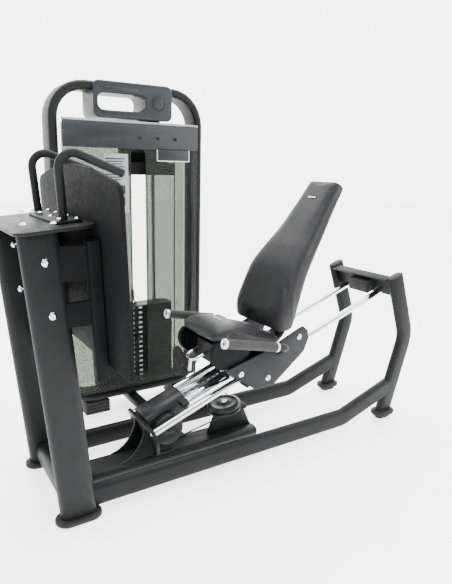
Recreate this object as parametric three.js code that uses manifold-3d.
// Seated leg press: the seat slides up two inclined rails and lifts a weight stack through a cable.
// Millimetres, +Z up. Working origin: on the floor under the lower end of the guide rails, on the
// machine's centre plane. +X runs to the rear, +Y towards the weight tower. The last lines move the
// origin to the centre of the machine's bounding box, on the floor.
import * as THREE from 'three';
import { mergeVertices } from 'three/addons/utils/BufferGeometryUtils.js';
import Module from 'manifold-3d';

const wasm = await Module();
wasm.setup();

const GAP = 0.3;
const SIDES = [-1, 1];
const SIDE_NAME = { [-1]: 'left', 1: 'right' };

// Front tower that carries the foot plate.
const FRONT_LEG = { x: -321, y: 202, lean: 0.088, height: 945, depth: 118, width: 50 };
const FOOT_HEIGHT = 18;
const TOP_PLATE = { front: -70, rear: 166, halfWidth: 250, thick: 10, corner: 40 };
const HANDLE_PLATE = { front: 64, rear: 146, halfWidth: 175, thick: 9, corner: 14 };
const FOOT_HANDLE_RADIUS = 13.5;
const FOOT_PLATE = { x: -217, z: 523, lean: 0.0399, halfWidth: 410, thick: 14 };
const POST = { y: 225, depth: 41, width: 44, bottom: -40, top: 397 };

// Base frame.
const RAIL_TUBE = { y: 188, z: 60, tall: 80, width: 40, bendRadius: 130 };
const REAR_LEG = { depth: 80, width: 40, footX: 1132, kneeX: 1246, kneeZ: 390, topX: 1141, topZ: 678 };
const REAR_FOOT_HEIGHT = 38;
const CROSS_TUBE = { x: -328, depth: 70, bottom: 24, top: 100 };
const SPINE = { width: 120, bottom: 10, top: 50, rear: 500 };
const TOWER_TUBE = { x: 175, width: 60, bottom: 22, top: 61.4 };

// Guide rails, and everything that is measured along them (u) and square to them (w).
const RAIL = { angle: THREE.MathUtils.degToRad(20), z: 171, y: 96, radius: 13.5, length: 1236.3 };
const DRIVE = { front: 6, rear: 178, inner: -40, outer: 76, low: -44, high: 48 };
const DRIVE_TUBE = { y: -10, w: -17, radius: 27, rear: 392 };
const ADJUST_BAR = { y: 38, w: -4, width: 26, tall: 34, rear: 470, holes: 11, pitch: 24, holeRadius: 5 };

// Weight tower.
const TOWER = { left: -167, right: 540, bottom: 62, top: 1470, y: 560, depth: 120, thick: 38, corner: 155 };
const STACK = { x: 207, y: 575, width: 375, depth: 90, bottom: 104, pitch: 24.1, plates: 16, resting: 9 };
const GUIDE_ROD = { spread: 110, radius: 10 };
const SHIELD = { left: -125, right: 504, bottom: 112, top: 1310, thick: 6, frontY: 483, rearY: 626 };
const COVER = { left: 15, right: 375, bottom: 1325, top: 1473, front: 488, rear: 632 };
const HANGER = { left: 262, right: 364 };
const CROSSBAR = { left: 129, right: 415, bottom: 1092, top: 1147, front: 550, rear: 600 };

// Cable and its pulleys: `groove` is the radius of the cable's centre line.
const CABLE_RADIUS = 3;
const LOWER_PULLEY = { x: 74, y: -62, z: 155, groove: 54, radius: 61, thick: 22 };
const TURNING_PULLEY = { x: 369, y: 0, z: 155, groove: 62, radius: 70, thick: 28 };
const BASE_PULLEY = { groove: 38, radius: 45, thick: 20 };
const TOP_PULLEY = { groove: 45, radius: 52, thick: 20, z: 1240 };

const FINISH = {
  frame: { color: 0x2e2f31, roughness: 0.6, metalness: 0.3 },
  sidePlate: { color: 0x3a3c3f, roughness: 0.5, metalness: 0.3 },
  cover: { color: 0x4a525c, roughness: 0.45, metalness: 0.1 },
  chrome: { color: 0xd4d7da, roughness: 0.15, metalness: 1 },
  rubber: { color: 0x1a1b1c, roughness: 0.85, metalness: 0 },
  vinyl: { color: 0x202124, roughness: 0.5, metalness: 0 },
  acrylic: { color: 0x9aa09c, roughness: 0.2, metalness: 0 },
  castPlate: { color: 0x232427, roughness: 0.6, metalness: 0.4 },
  plastic: { color: 0x26282b, roughness: 0.4, metalness: 0 },
  steelCable: { color: 0x3a3b3d, roughness: 0.5, metalness: 0.4 },
};

const v = (x, y, z) => new THREE.Vector3(x, y, z);

const machine = new THREE.Group();

function add(parent, name, geometry, finish) {
  const mesh = new THREE.Mesh(geometry, new THREE.MeshStandardMaterial(FINISH[finish]));
  mesh.name = name;
  parent.add(mesh);
  return mesh;
}

// ---- joining and cutting ----

function solid(geometry) {
  const bare = geometry.clone();
  bare.deleteAttribute('normal');
  bare.deleteAttribute('uv');
  const merged = mergeVertices(bare, 1e-4);
  return new wasm.Manifold(new wasm.Mesh({
    numProp: 3,
    vertProperties: Float32Array.from(merged.attributes.position.array),
    triVerts: Uint32Array.from(merged.index.array),
  }));
}

function fromSolid(manifold) {
  const mesh = manifold.getMesh();
  const geometry = new THREE.BufferGeometry();
  geometry.setAttribute('position', new THREE.BufferAttribute(mesh.vertProperties, 3));
  geometry.setIndex(new THREE.BufferAttribute(mesh.triVerts, 1));
  geometry.computeVertexNormals();
  return geometry;
}

function join(...geometries) {
  return fromSolid(geometries.map(solid).reduce((whole, piece) => whole.add(piece)));
}

function cut(geometry, ...tools) {
  return fromSolid(tools.map(solid).reduce((whole, tool) => whole.subtract(tool), solid(geometry)));
}

// ---- outlines and basic solids ----

// A rectangle centred on (x, y) with round corners. Nearly half the short side makes a flat oval.
function roundedRect(width, height, corner, x = 0, y = 0, Kind = THREE.Shape) {
  const right = width / 2 - corner;
  const upper = height / 2 - corner;
  const outline = new Kind();
  outline.absarc(x + right, y - upper, corner, -Math.PI / 2, 0);
  outline.absarc(x + right, y + upper, corner, 0, Math.PI / 2);
  outline.absarc(x - right, y + upper, corner, Math.PI / 2, Math.PI);
  outline.absarc(x - right, y - upper, corner, Math.PI, Math.PI * 1.5);
  outline.closePath();
  return outline;
}

const oval = (width, height) => roundedRect(width, height, Math.min(width, height) * 0.49);

function disc(radius) {
  const outline = new THREE.Shape();
  outline.absarc(0, 0, radius, 0, Math.PI * 2);
  return outline;
}

function polygon(...points) {
  return new THREE.Shape(points.map(([x, y]) => new THREE.Vector2(x, y)));
}

function extrude(shape, depth, curveSegments = 2) {
  return new THREE.ExtrudeGeometry(shape, { depth, bevelEnabled: false, curveSegments });
}

// The outline is drawn in (x, z) and the plate is centred on y.
function sidePlate(shape, thick, y, curveSegments = 2) {
  return extrude(shape, thick, curveSegments)
    .translate(0, 0, -thick / 2)
    .rotateX(Math.PI / 2)
    .translate(0, y, 0);
}

// The outline is drawn in (y, z) and the plate runs from x to x + thick.
function crossPlate(shape, thick, x, curveSegments = 2) {
  const turn = new THREE.Matrix4().makeBasis(v(0, 1, 0), v(0, 0, 1), v(1, 0, 0));
  return extrude(shape, thick, curveSegments).applyMatrix4(turn).translate(x, 0, 0);
}

function box(x0, x1, y0, y1, z0, z1) {
  const geometry = new THREE.BoxGeometry(x1 - x0, y1 - y0, z1 - z0);
  return geometry.translate((x0 + x1) / 2, (y0 + y1) / 2, (z0 + z1) / 2);
}

function cylinder(from, to, radius, sides = 20) {
  const axis = to.clone().sub(from);
  const geometry = new THREE.CylinderGeometry(radius, radius, axis.length(), sides);
  const turn = new THREE.Quaternion().setFromUnitVectors(v(0, 1, 0), axis.clone().normalize());
  const middle = from.clone().add(to).multiplyScalar(0.5);
  return geometry.applyQuaternion(turn).translate(middle.x, middle.y, middle.z);
}

// ---- tubes ----

// A line through given points whose section keeps facing `side`, so a flat tube never twists.
class Route extends THREE.Curve {
  constructor(points, side) {
    super();
    this.points = points;
    this.side = side;
  }

  getPoint(t, target = new THREE.Vector3()) {
    const last = this.points.length - 1;
    const index = Math.min(Math.floor(t * last + 1e-6), last - 1);
    return target.lerpVectors(this.points[index], this.points[index + 1], t * last - index);
  }

  getPointAt(t, target) {
    return this.getPoint(t, target);
  }

  computeFrenetFrames(steps) {
    const frames = { tangents: [], normals: [], binormals: [] };
    for (let i = 0; i <= steps; i += 1) {
      const here = this.points[i];
      const tangent = new THREE.Vector3();
      if (i > 0) tangent.add(here.clone().sub(this.points[i - 1]).normalize());
      if (i < steps) tangent.add(this.points[i + 1].clone().sub(here).normalize());
      tangent.normalize();
      const normal = this.side[i] ?? this.side[0];
      const square = normal.clone().addScaledVector(tangent, -normal.dot(tangent)).normalize();
      frames.tangents.push(tangent);
      frames.normals.push(square);
      frames.binormals.push(new THREE.Vector3().crossVectors(tangent, square));
    }
    return frames;
  }
}

function tubeThrough(shape, points, side = [v(0, 1, 0)], curveSegments = 2) {
  const extrudePath = new Route(points, side);
  return new THREE.ExtrudeGeometry(shape, { steps: points.length - 1, extrudePath, curveSegments });
}

// Corner points with each inner corner rounded to `radius` in `turns` steps.
function roundCorners(corners, radius, turns = 6) {
  const points = [corners[0]];
  for (let i = 1; i < corners.length - 1; i += 1) {
    const before = corners[i].clone().sub(corners[i - 1]).normalize();
    const after = corners[i + 1].clone().sub(corners[i]).normalize();
    const angle = before.angleTo(after);
    const inward = after.clone().addScaledVector(before, -Math.cos(angle)).normalize();
    const start = corners[i].clone().addScaledVector(before, -radius * Math.tan(angle / 2));
    for (let step = 0; step <= turns; step += 1) {
      const turned = (angle * step) / turns;
      points.push(start.clone()
        .addScaledVector(before, radius * Math.sin(turned))
        .addScaledVector(inward, radius * (1 - Math.cos(turned))));
    }
  }
  points.push(corners.at(-1));
  return points;
}

// Points on a circle about `centre`, from `across` towards `along`, with angles in degrees.
function arc(centre, across, along, radius, from, to, steps) {
  const points = [];
  for (let i = 0; i <= steps; i += 1) {
    const angle = THREE.MathUtils.degToRad(from + ((to - from) * i) / steps);
    points.push(centre.clone()
      .addScaledVector(across, radius * Math.cos(angle))
      .addScaledVector(along, radius * Math.sin(angle)));
  }
  return points;
}

// ---- front tower ----

function frontLeg(side, extra = 0) {
  const { x, y, lean, height, depth, width } = FRONT_LEG;
  const bottom = FOOT_HEIGHT + GAP - extra * 100;
  const leg = extrude(oval(depth + 2 * extra, width + 2 * extra), height - bottom);
  const places = leg.attributes.position;
  for (let i = 0; i < places.count; i += 1) {
    const across = places.getX(i);
    const atTop = places.getZ(i) > 1;
    const up = bottom + places.getZ(i) + (atTop ? lean * across : 0);
    places.setXYZ(i, x + across - lean * up, side * y + places.getY(i), up);
  }
  leg.computeVertexNormals();
  return leg;
}

function footPad(length, width, height) {
  const bevel = 4;
  return new THREE.ExtrudeGeometry(oval(length - 2 * bevel, width - 2 * bevel), {
    depth: height - 2 * bevel, bevelThickness: bevel, bevelSize: bevel, bevelSegments: 1, curveSegments: 2,
  }).translate(0, 0, bevel);
}

function frontTower() {
  const { x, lean, height } = FRONT_LEG;
  for (const side of SIDES) {
    add(machine, `front_leg_${SIDE_NAME[side]}`, frontLeg(side), 'frame');
    const foot = footPad(154, 84, FOOT_HEIGHT);
    foot.translate(x - lean * FOOT_HEIGHT, side * FRONT_LEG.y, 0);
    add(machine, `front_foot_${SIDE_NAME[side]}`, foot, 'rubber');
  }
  const innerY = FRONT_LEG.y - FRONT_LEG.width / 2 - GAP;
  const { depth, bottom, top } = CROSS_TUBE;
  const section = roundedRect(depth, top - bottom, 26, CROSS_TUBE.x, (top + bottom) / 2);
  add(machine, 'front_cross_tube', sidePlate(section, innerY * 2, 0), 'frame');

  const leaning = new THREE.Group();
  leaning.position.set(x, 0, 0);
  leaning.rotation.y = -Math.atan(lean);
  machine.add(leaning);
  const legLength = height * Math.hypot(1, lean);

  const panel = new THREE.Shape();
  panel.moveTo(-innerY, 470);
  panel.quadraticCurveTo(-150, 545, -70, 548);
  panel.lineTo(70, 548);
  panel.quadraticCurveTo(150, 545, innerY, 470);
  panel.lineTo(innerY, legLength - 1);
  panel.lineTo(-innerY, legLength - 1);
  panel.closePath();
  add(leaning, 'front_back_panel', crossPlate(panel, 5, 14, 3), 'frame');

  const slab = (plate, z) => extrude(
    roundedRect(plate.rear - plate.front, plate.halfWidth * 2, plate.corner, (plate.rear + plate.front) / 2),
    plate.thick,
  ).translate(0, 0, z);
  const topPlateZ = legLength + GAP;
  add(leaning, 'front_top_plate', slab(TOP_PLATE, topPlateZ), 'frame');
  const handlePlateZ = topPlateZ + TOP_PLATE.thick + GAP;
  add(leaning, 'handle_base_plate', slab(HANDLE_PLATE, handlePlateZ), 'frame');
  for (const side of SIDES) {
    const corners = [v(-312.6, side * 147, 975.2), v(-327, side * 160, 1191), v(-122, side * 142, 1112)];
    const points = roundCorners(corners, 45, 8);
    const tube = tubeThrough(disc(FOOT_HANDLE_RADIUS), points, [v(0, 1, 0)], 8);
    add(machine, `foot_handle_${SIDE_NAME[side]}`, tube, 'frame');
  }
}

// ---- foot plate and the posts that hold it ----

function footPlate() {
  const board = new THREE.Group();
  board.position.set(FOOT_PLATE.x, 0, FOOT_PLATE.z);
  board.rotation.y = -Math.atan(FOOT_PLATE.lean);
  machine.add(board);

  const half = FOOT_PLATE.halfWidth;
  const outline = new THREE.Shape();
  outline.absarc(half - 15, 15, 15, -Math.PI / 2, 0);
  outline.lineTo(half, 528);
  outline.quadraticCurveTo(half - 2, 570, half - 66, 576);
  outline.quadraticCurveTo(170, 610, 0, 614);
  outline.quadraticCurveTo(-170, 610, 66 - half, 576);
  outline.quadraticCurveTo(2 - half, 570, -half, 528);
  outline.lineTo(-half, 15);
  outline.absarc(15 - half, 15, 15, Math.PI, Math.PI * 1.5);
  outline.closePath();
  add(board, 'foot_plate', crossPlate(outline, FOOT_PLATE.thick, 0, 6), 'frame');

  board.updateMatrixWorld(true);
  const back = board.matrixWorld.clone();
  for (const side of SIDES) {
    const post = extrude(roundedRect(POST.depth, POST.width, 9), POST.top - POST.bottom)
      .translate(-POST.depth / 2 - GAP, side * POST.y, POST.bottom)
      .applyMatrix4(back);
    const bracketY = side * 215;
    const upper = box(-350, -262, bracketY - 10, bracketY + 10, 800, 905);
    const lower = box(-336, -256, bracketY - 10, bracketY + 10, 660, 735);
    add(machine, `foot_plate_post_${SIDE_NAME[side]}`,
      cut(join(post, upper, lower), frontLeg(side, GAP)), 'frame');
  }
}

// ---- base frame and rear legs ----

function rearLeg(side, extra = 0) {
  const { depth, width, footX, kneeX, kneeZ, topX, topZ } = REAR_LEG;
  const slope = (kneeX - footX) / (kneeZ - 18);
  const y = side * RAIL_TUBE.y;
  const corners = [v(footX - slope * 20, y, -2), v(kneeX, y, kneeZ), v(topX, y, topZ)];
  const leg = tubeThrough(oval(width + 2 * extra, depth + 2 * extra), roundCorners(corners, 150));
  return cut(leg, box(footX - 200, footX + 200, y - 50, y + 50, -60, REAR_FOOT_HEIGHT + GAP));
}

function baseFrame() {
  for (const side of SIDES) {
    const { y, z, tall, width, bendRadius } = RAIL_TUBE;
    const corners = [v(-285, side * y, z), v(870, side * y, z), v(1166, side * y, 156)];
    const tube = tubeThrough(oval(width, tall), roundCorners(corners, bendRadius));
    add(machine, `base_rail_${SIDE_NAME[side]}`,
      cut(tube, frontLeg(side, GAP), rearLeg(side, GAP)), 'frame');
    add(machine, `rear_leg_${SIDE_NAME[side]}`, rearLeg(side), 'frame');
    const foot = join(footPad(80, 46, 22), footPad(118, 78, 20).translate(0, 0, REAR_FOOT_HEIGHT - 20));
    add(machine, `rear_foot_${SIDE_NAME[side]}`, foot.translate(REAR_LEG.footX + 6, side * y, 0), 'rubber');
  }
  const spineFront = CROSS_TUBE.x + CROSS_TUBE.depth / 2 + GAP;
  const section = roundedRect(SPINE.width, SPINE.top - SPINE.bottom, 19, 0, (SPINE.top + SPINE.bottom) / 2);
  const innerY = RAIL_TUBE.y - RAIL_TUBE.width / 2 - GAP;
  const { x, width, bottom, top } = TOWER_TUBE;
  const tubeSection = roundedRect(width, top - bottom, 18, x, (top + bottom) / 2);
  const stub = sidePlate(tubeSection, innerY - 30, (innerY + 30) / 2);
  const spine = crossPlate(section, SPINE.rear - spineFront, spineFront);
  add(machine, 'spine', join(spine, stub), 'frame');
  const outerY = RAIL_TUBE.y + RAIL_TUBE.width / 2 + GAP;
  const towerEnd = TOWER.y + 50;
  add(machine, 'tower_cross_tube',
    sidePlate(tubeSection, towerEnd - outerY, (towerEnd + outerY) / 2), 'frame');
}

// ---- guide rails and what rides on them ----

const alongRails = new THREE.Group();
alongRails.position.set(0, 0, RAIL.z);
alongRails.rotation.y = -RAIL.angle;
machine.add(alongRails);
alongRails.updateMatrixWorld(true);
const toRails = alongRails.matrixWorld.clone().invert();

function guideRails() {
  for (const side of SIDES) {
    const y = side * RAIL.y;
    add(alongRails, `guide_rail_${SIDE_NAME[side]}`,
      cylinder(v(0, y, 0), v(RAIL.length, y, 0), RAIL.radius, 28), 'chrome');
  }
  // The end plate leans down to the spine, with two webs in front of it.
  const endShape = polygon([-60, -124], [60, -124], [118, -30], [118, 12], [108, 22],
    [-108, 22], [-118, 12], [-118, -30]);
  const endPlate = crossPlate(endShape, 12, -12 - GAP).applyMatrix4(alongRails.matrixWorld);
  const web = new THREE.Shape();
  web.moveTo(-14, 182);
  web.quadraticCurveTo(-28, 66, -118, SPINE.top + GAP);
  web.lineTo(34, SPINE.top + GAP);
  web.lineTo(-8, 166);
  web.closePath();
  const ear = new THREE.Shape();
  ear.moveTo(28, SPINE.top + GAP);
  ear.lineTo(100, SPINE.top + GAP);
  ear.lineTo(LOWER_PULLEY.x + 20, LOWER_PULLEY.z);
  ear.absarc(LOWER_PULLEY.x, LOWER_PULLEY.z, 20, 0, Math.PI);
  ear.closePath();
  const earPlate = sidePlate(ear, 6, -46.5);
  const axle = cylinder(v(LOWER_PULLEY.x, -45, LOWER_PULLEY.z), v(LOWER_PULLEY.x, -76, LOWER_PULLEY.z), 8, 16);
  const foot = box(20, 104, -56, -40, SPINE.top + GAP, SPINE.top + 8);
  const webs = [-44, 44].map((y) => sidePlate(web, 8, y, 6));
  add(machine, 'rail_support', join(endPlate, ...webs, earPlate, axle, foot), 'frame');

  // The rear channel holds the upper ends; the bumper stops the seat.
  const innerY = RAIL_TUBE.y - RAIL_TUBE.width / 2 - GAP;
  const face = RAIL.length + GAP;
  const channel = polygon([face, -18], [face + 8, -18], [face + 8, 80], [face - 36, 80],
    [face - 36, 73], [face, 73]);
  add(alongRails, 'rear_cross_channel', sidePlate(channel, innerY * 2, 0), 'frame');
  const block = roundedRect(58, 56, 8, face - GAP - 29, 28);
  add(alongRails, 'bumper_block', sidePlate(block, 115, -7), 'rubber');
}

function driveCarriage() {
  const { front, rear, inner, outer, low, high } = DRIVE;
  const body = new THREE.Shape();
  body.moveTo(inner, low + 14);
  body.quadraticCurveTo(inner, low, inner + 14, low);
  body.lineTo(outer - 14, low);
  body.quadraticCurveTo(outer, low, outer, low + 14);
  body.lineTo(outer, high - 30);
  body.quadraticCurveTo(outer - 4, high, (inner + outer) / 2, high);
  body.quadraticCurveTo(inner + 4, high, inner, high - 30);
  body.closePath();
  const lug = box(150, rear, LOWER_PULLEY.y - 9, inner + 5, 6, 28);
  add(alongRails, 'drive_block', join(crossPlate(body, rear - front, front, 5), lug), 'plastic');
  const tube = DRIVE_TUBE;
  add(alongRails, 'carriage_tube',
    cylinder(v(rear + GAP, tube.y, tube.w), v(tube.rear, tube.y, tube.w), tube.radius, 28), 'chrome');
  const bar = ADJUST_BAR;
  const start = rear + GAP;
  const profile = roundedRect(bar.rear - start, bar.tall, 3, (bar.rear + start) / 2, bar.w);
  for (let i = 0; i < bar.holes; i += 1) {
    const hole = new THREE.Path();
    hole.absarc(start + 24 + i * bar.pitch, bar.w, bar.holeRadius, 0, Math.PI * 2);
    profile.holes.push(hole);
  }
  add(alongRails, 'adjusting_bar', sidePlate(profile, bar.width, bar.y), 'chrome');
}

// ---- seat carriage ----

// A slab that follows stations along a line in the XZ plane. Each station gives a point on the
// slab's outer face, the half width there and the thickness to the inner side.
function cushion(stations) {
  const rows = stations.length - 1;
  const slab = new THREE.BoxGeometry(2, 1, 1, 1, 1, rows);
  const places = slab.attributes.position;
  for (let i = 0; i < places.count; i += 1) {
    const row = Math.round((places.getZ(i) + 0.5) * rows);
    const [x, z, half, thick] = stations[row];
    const before = stations[Math.max(row - 1, 0)];
    const after = stations[Math.min(row + 1, rows)];
    const along = new THREE.Vector2(after[0] - before[0], after[1] - before[1]).normalize();
    const depth = (places.getY(i) + 0.5) * thick;
    places.setXYZ(i, x + along.y * depth, -places.getX(i) * half, z - along.x * depth);
  }
  slab.computeVertexNormals();
  return slab;
}

function seatCarriage() {
  const SIDE_PLATE_Y = 146;
  const SIDE_PLATE_THICK = 8;
  const innerY = SIDE_PLATE_Y - SIDE_PLATE_THICK / 2 - GAP;
  const outerY = SIDE_PLATE_Y + SIDE_PLATE_THICK / 2 + GAP;
  const outline = polygon([276, 377], [411, 279], [511, 279], [662, 396], [684, 448], [676, 486], [650, 505],
    [600, 486], [522, 452], [456, 424], [330, 392]);
  for (const side of SIDES) {
    add(machine, `side_plate_${SIDE_NAME[side]}`,
      sidePlate(outline, SIDE_PLATE_THICK, side * SIDE_PLATE_Y), 'sidePlate');
  }

  const housings = SIDES.map((side) => {
    const low = side < 0 ? -innerY : 72;
    const high = side < 0 ? -72 : innerY;
    return box(400, 600, low, high, -24, 24);
  });
  const bores = SIDES.map((side) => cylinder(v(380, side * RAIL.y, 0), v(660, side * RAIL.y, 0), 14.3, 28));
  const crossBeams = [box(404, 450, -80, 80, -24, 24), box(554, 598, -80, 80, -24, 24)];
  const barRoom = box(380, 660, ADJUST_BAR.y - 16, ADJUST_BAR.y + 16, -30, ADJUST_BAR.w + 20);
  barRoom.applyMatrix4(alongRails.matrixWorld);
  const carriage = cut(join(...housings, ...crossBeams), ...bores).applyMatrix4(alongRails.matrixWorld);

  const seatPan = polygon([272, 384], [340, 372], [400, 330], [600, 385], [560, 402], [270, 459]);
  const pan = sidePlate(seatPan, 120, 0);
  const spinePath = roundCorners([v(560, 0, 392), v(640, 0, 440), v(752, 0, 770)], 90);
  const backPost = tubeThrough(oval(70, 38), spinePath);
  const backHolder = box(-8, 8, -55, 55, -60, 60).rotateY(0.33).translate(741, 0, 742);
  add(machine, 'seat_frame', cut(join(carriage, pan, backPost, backHolder), barRoom), 'frame');

  const seatLine = [[232, 506, 128, 46], [250, 529, 134, 63], [304, 539, 139, 80], [366, 525, 140, 80],
    [452, 496, 140, 68], [560, 464, 136, 60]];
  add(machine, 'seat_cushion', cushion(seatLine), 'vinyl');
  const backLine = [[511, 500, 166, 84], [512, 545, 172, 94], [522, 590, 172, 98], [575, 722, 162, 98],
    [636, 806, 146, 90], [702, 879, 127, 76], [789, 1000, 104, 64], [851, 1090, 92, 58]];
  add(machine, 'backrest_cushion', cushion(backLine), 'vinyl');

  for (const side of SIDES) {
    const corners = [v(222, side * 229, 521), v(498, side * 236, 463), v(530, side * SIDE_PLATE_Y, 416)];
    const tube = tubeThrough(disc(15), roundCorners(corners, 40), [v(0, 0, 1)], 6);
    const plateSpace = box(400, 660, -outerY, outerY, 300, 500);
    add(machine, `seat_handle_${SIDE_NAME[side]}`, cut(tube, plateSpace), 'frame');
  }
}

function adjustLever() {
  const loop = roundCorners([v(262, -38, 428), v(200, -34, 398), v(200, 34, 398), v(262, 38, 428)], 24, 5);
  const rod = tubeThrough(disc(5), loop, [v(0.43, 0, -0.9)], 4);
  const stem = cylinder(v(206, 0, 400), v(200, 0, 348), 7, 12);
  add(machine, 'adjust_lever', join(rod, stem), 'chrome');
}

// ---- pulleys and cable ----

// A grooved wheel about its own Y axis.
function pulley({ groove, radius, thick }, bore = 9) {
  const half = thick / 2;
  const floor = groove - CABLE_RADIUS - 1.6;
  const profile = [[bore, -half], [radius - 3, -half], [radius, 3 - half], [radius, -4.5], [floor, -4.5],
    [floor, 4.5], [radius, 4.5], [radius, half - 3], [radius - 3, half], [bore, half], [bore, -half]];
  return new THREE.LatheGeometry(profile.map(([r, y]) => new THREE.Vector2(r, y)), 24);
}

// The cable climbs from under the lower pulley into the tilted plane of the turning pulley.
const pulleySpan = TURNING_PULLEY.x - LOWER_PULLEY.x;
const cableClimb = Math.asin(LOWER_PULLEY.groove / pulleySpan);
const climbAxis = v(Math.cos(cableClimb), 0, Math.sin(cableClimb));
const turningCentre = v(TURNING_PULLEY.x, TURNING_PULLEY.y, TURNING_PULLEY.z);
const turningExit = turningCentre.clone().addScaledVector(climbAxis, TURNING_PULLEY.groove);
const basePulleyCentre = v(turningExit.x, STACK.y - BASE_PULLEY.groove, turningExit.z + BASE_PULLEY.groove);
const topPulleyCentres = [
  v(turningExit.x - TOP_PULLEY.groove, STACK.y, TOP_PULLEY.z),
  v(STACK.x + TOP_PULLEY.groove, STACK.y, TOP_PULLEY.z),
];

function cableDrive() {
  const lowerCentre = v(LOWER_PULLEY.x, LOWER_PULLEY.y, LOWER_PULLEY.z);
  add(machine, 'lower_pulley', pulley(LOWER_PULLEY), 'rubber').position.copy(lowerCentre);

  const turning = new THREE.Group();
  turning.position.copy(turningCentre);
  turning.rotation.y = -cableClimb;
  machine.add(turning);
  turning.updateMatrixWorld(true);
  add(turning, 'turning_pulley', pulley(TURNING_PULLEY).rotateX(Math.PI / 2), 'rubber');
  const under = -TURNING_PULLEY.thick / 2 - 1;
  const seatPlate = extrude(roundedRect(150, 90, 14, 14), 10).translate(0, 0, under - 10)
    .applyMatrix4(turning.matrixWorld);
  const pin = cylinder(v(0, 0, under - 4), v(0, 0, TURNING_PULLEY.thick / 2 + 4), 8, 16)
    .applyMatrix4(turning.matrixWorld);
  const webShape = polygon([290, SPINE.top + GAP], [496, SPINE.top + GAP], [452, 149], [322, 125]);
  add(machine, 'turning_bracket', join(seatPlate, pin, sidePlate(webShape, 24, 0)), 'frame');

  add(machine, 'tower_base_pulley', pulley(BASE_PULLEY).rotateZ(Math.PI / 2), 'rubber')
    .position.copy(basePulleyCentre);
  topPulleyCentres.forEach((centre, i) => {
    add(machine, `top_pulley_${i + 1}`, pulley(TOP_PULLEY), 'rubber').position.copy(centre);
  });

  const side = v(0, 1, 0);
  const up = v(0, 0, 1);
  const forward = v(1, 0, 0);
  const railNormal = 90 + THREE.MathUtils.radToDeg(RAIL.angle);
  const leaveLower = 270 + THREE.MathUtils.radToDeg(cableClimb);
  const route = [
    ...arc(lowerCentre, forward, up, LOWER_PULLEY.groove, railNormal, leaveLower, 12),
    ...arc(turningCentre, climbAxis, side, TURNING_PULLEY.groove, -90, 0, 7),
    ...arc(basePulleyCentre, side, up, BASE_PULLEY.groove, -90, 0, 7),
    ...arc(topPulleyCentres[0], forward, up, TOP_PULLEY.groove, 0, 90, 7),
    ...arc(topPulleyCentres[1], forward, up, TOP_PULLEY.groove, 90, 180, 7),
  ];
  add(machine, 'cable_run', tubeThrough(disc(CABLE_RADIUS), route, cableSides(route), 4), 'steelCable');

  const railStart = route[0].clone().applyMatrix4(toRails);
  const lugFace = v(150 - GAP, railStart.y, railStart.z);
  railStart.x += 1;
  add(alongRails, 'cable_to_seat', cylinder(railStart, lugFace, CABLE_RADIUS, 8), 'steelCable');
  const drop = route.at(-1);
  add(machine, 'cable_to_stack',
    cylinder(v(drop.x, drop.y, drop.z - GAP), v(drop.x, drop.y, STEM_TOP + GAP), CABLE_RADIUS, 8), 'steelCable');
}

// A section direction for each point of a route that bends in more than one plane, carried along
// from point to point so that it never flips.
function cableSides(route) {
  const sides = [v(0, 1, 0)];
  for (let i = 1; i < route.length; i += 1) {
    const along = route[Math.min(i + 1, route.length - 1)].clone().sub(route[i - 1]).normalize();
    const last = sides[i - 1];
    sides.push(last.clone().addScaledVector(along, -last.dot(along)).normalize());
  }
  return sides;
}

// ---- weight tower ----

const stackTop = STACK.bottom + STACK.pitch * STACK.plates;
const STEM_TOP = 560;

function towerLoop() {
  const half = TOWER.thick / 2;
  const [left, right] = [TOWER.left + half, TOWER.right - half];
  const seam = 250;
  const section = oval(TOWER.depth, TOWER.thick);
  const radius = TOWER.corner - half;
  const halfLoop = (from, to) => {
    const corners = [v(left, TOWER.y, from), v(left, TOWER.y, to), v(right, TOWER.y, to), v(right, TOWER.y, from)];
    return tubeThrough(section, roundCorners(corners, radius, 7));
  };
  add(machine, 'tower_arch', halfLoop(seam + GAP, TOWER.top - half), 'frame');
  // The lower half carries the ear and axle of the base pulley.
  const { x: pulleyX, y: pulleyY, z: pulleyZ } = basePulleyCentre;
  const tubeTop = TOWER.bottom + TOWER.thick;
  const ear = box(pulleyX - 21, pulleyX - 13, pulleyY - 18, pulleyY + 18, tubeTop - 4, pulleyZ + 18);
  const axle = cylinder(v(pulleyX - 15, pulleyY, pulleyZ), v(pulleyX + 14, pulleyY, pulleyZ), 8, 16);
  add(machine, 'tower_base', join(halfLoop(seam, TOWER.bottom + half), ear, axle), 'frame');
  [['front', -60], ['rear', 385]].forEach(([end, x]) => {
    const rib = [];
    const ribs = 4;
    const step = (TOWER.bottom - 0.6) / ribs;
    for (let i = 0; i < ribs; i += 1) {
      rib.push(box(x, x + 115, 505, 615, i * step, (i + 1) * step - 4));
    }
    rib.push(box(x + 3, x + 112, 508, 612, 1, TOWER.bottom - 0.6));
    add(machine, `tower_foot_${end}`, join(...rib), 'rubber');
  });
}

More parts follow.
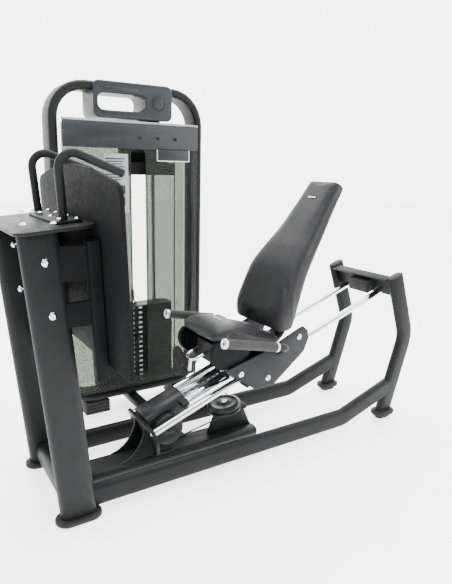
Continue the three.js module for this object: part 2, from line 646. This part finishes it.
function towerCovers() {
  const { left, right, bottom, top, front, rear } = COVER;
  const face = roundedRect(right - left - 8, top - bottom - 8, 22, (left + right) / 2, (top + bottom) / 2);
  face.holes.push(roundedRect(221, 76, 30, 142, 1391, THREE.Path));
  const shell = new THREE.ExtrudeGeometry(face, {
    depth: rear - front - 8, bevelThickness: 4, bevelSize: 4, bevelSegments: 1, curveSegments: 3,
  }).translate(0, 0, -(rear - front - 8) / 2).rotateX(Math.PI / 2).translate(0, (front + rear) / 2, 0);
  const tube = crossPlate(oval(TOWER.depth + 2 * GAP, TOWER.thick + 2 * GAP), right - left + 40, left - 20)
    .translate(0, TOWER.y, TOWER.top - TOWER.thick / 2);
  const pocket = box(HANGER.left - 8, HANGER.right + 4, 506, 614, bottom - 10, TOWER.top - TOWER.thick + 5);
  add(machine, 'top_cover', cut(shell, tube, pocket), 'cover');

  const pane = () => roundedRect(SHIELD.right - SHIELD.left, SHIELD.top - SHIELD.bottom, 24,
    (SHIELD.left + SHIELD.right) / 2, (SHIELD.top + SHIELD.bottom) / 2);
  const window = pane();
  window.holes.push(roundedRect(70, 1040, 20, 206, 680, THREE.Path));
  const cableHole = new THREE.Path();
  cableHole.absarc(turningExit.x, turningExit.z, 14, 0, Math.PI * 2);
  window.holes.push(cableHole);
  add(machine, 'front_shield', sidePlate(window, SHIELD.thick, SHIELD.frontY + SHIELD.thick / 2), 'acrylic');
  add(machine, 'rear_shield', sidePlate(pane(), SHIELD.thick, SHIELD.rearY + SHIELD.thick / 2), 'acrylic');
}

function stackFrame() {
  for (const side of SIDES) {
    const x = STACK.x + side * GUIDE_ROD.spread;
    const low = TOWER.bottom + TOWER.thick + GAP;
    add(machine, `guide_rod_${SIDE_NAME[side]}`,
      cylinder(v(x, STACK.y, low), v(x, STACK.y, CROSSBAR.bottom - GAP), GUIDE_ROD.radius, 20), 'chrome');
  }
  const { left, right, bottom, top, front, rear } = CROSSBAR;
  const bar = box(left, right, front, rear, bottom, top);
  const hanger = join(box(160, 405, rear - 8, rear, top - 5, COVER.bottom - 15),
    box(HANGER.left, HANGER.right, rear - 8, rear, COVER.bottom - 20, TOWER.top - TOWER.thick - GAP));
  const axles = topPulleyCentres.map(({ x, z }) => cylinder(v(x, rear - 4, z), v(x, STACK.y - 14, z), 8, 16));
  const hole = cylinder(v(STACK.x, STACK.y, bottom - 5), v(STACK.x, STACK.y, top + 5), 9, 16);
  add(machine, 'pulley_crossbar', cut(join(bar, hanger, ...axles), hole), 'frame');
}

function weightStack() {
  const tools = [-GUIDE_ROD.spread, 0, GUIDE_ROD.spread].map((offset) => cylinder(
    v(STACK.x + offset, STACK.y, 60), v(STACK.x + offset, STACK.y, stackTop + 30), 11.5, 20));
  const slab = (index) => {
    const z = STACK.bottom + index * STACK.pitch;
    const plate = roundedRect(STACK.width, STACK.depth, 8, STACK.x, STACK.y);
    return extrude(plate, STACK.pitch - 2.4, 2).translate(0, 0, z);
  };
  const core = (from, to) => box(STACK.x - 180, STACK.x + 180, STACK.y - 40, STACK.y + 40,
    STACK.bottom + from * STACK.pitch, STACK.bottom + to * STACK.pitch - 2.4);
  const pile = (from, to) => {
    const slabs = [];
    for (let i = from; i < to; i += 1) slabs.push(slab(i));
    return join(...slabs, core(from, to));
  };
  const pinZ = STACK.bottom + (STACK.resting + 0.5) * STACK.pitch - 1.2;
  const front = STACK.y - STACK.depth / 2;
  const pinHole = cylinder(v(STACK.x, front - 5, pinZ), v(STACK.x, STACK.y, pinZ), 5.5, 12);
  add(machine, 'resting_plates', cut(pile(0, STACK.resting), ...tools), 'castPlate');
  add(machine, 'lifted_plates', cut(pile(STACK.resting, STACK.plates), ...tools, pinHole), 'castPlate');

  const profile = [[0, 108], [9, 108], [9, stackTop - 2.4 + GAP], [20, stackTop - 2.4 + GAP],
    [20, stackTop + 12], [11, stackTop + 22], [11, STEM_TOP - 8], [7, STEM_TOP], [0, STEM_TOP]];
  const stem = new THREE.LatheGeometry(profile.map(([r, z]) => new THREE.Vector2(r, z)), 20);
  add(machine, 'stack_stem', stem.rotateX(Math.PI / 2).translate(STACK.x, STACK.y, 0), 'chrome');

  const knob = [[0, 0], [4.5, 0], [4.5, 38], [8, 39], [14, 41], [14, 56], [9, 60], [0, 60]];
  const pin = new THREE.LatheGeometry(knob.map(([r, z]) => new THREE.Vector2(r, z)), 16);
  add(machine, 'selector_pin', pin.rotateX(Math.PI).translate(STACK.x, STACK.y - 11.5, pinZ), 'plastic');
}

frontTower();
footPlate();
baseFrame();
guideRails();
driveCarriage();
seatCarriage();
adjustLever();
towerLoop();
towerCovers();
stackFrame();
weightStack();
cableDrive();

machine.updateMatrixWorld(true);
const bounds = new THREE.Box3().setFromObject(machine, true);
const middle = bounds.getCenter(new THREE.Vector3());
machine.position.set(-middle.x, -middle.y, -bounds.min.z);
machine.updateMatrixWorld(true);

export default machine;
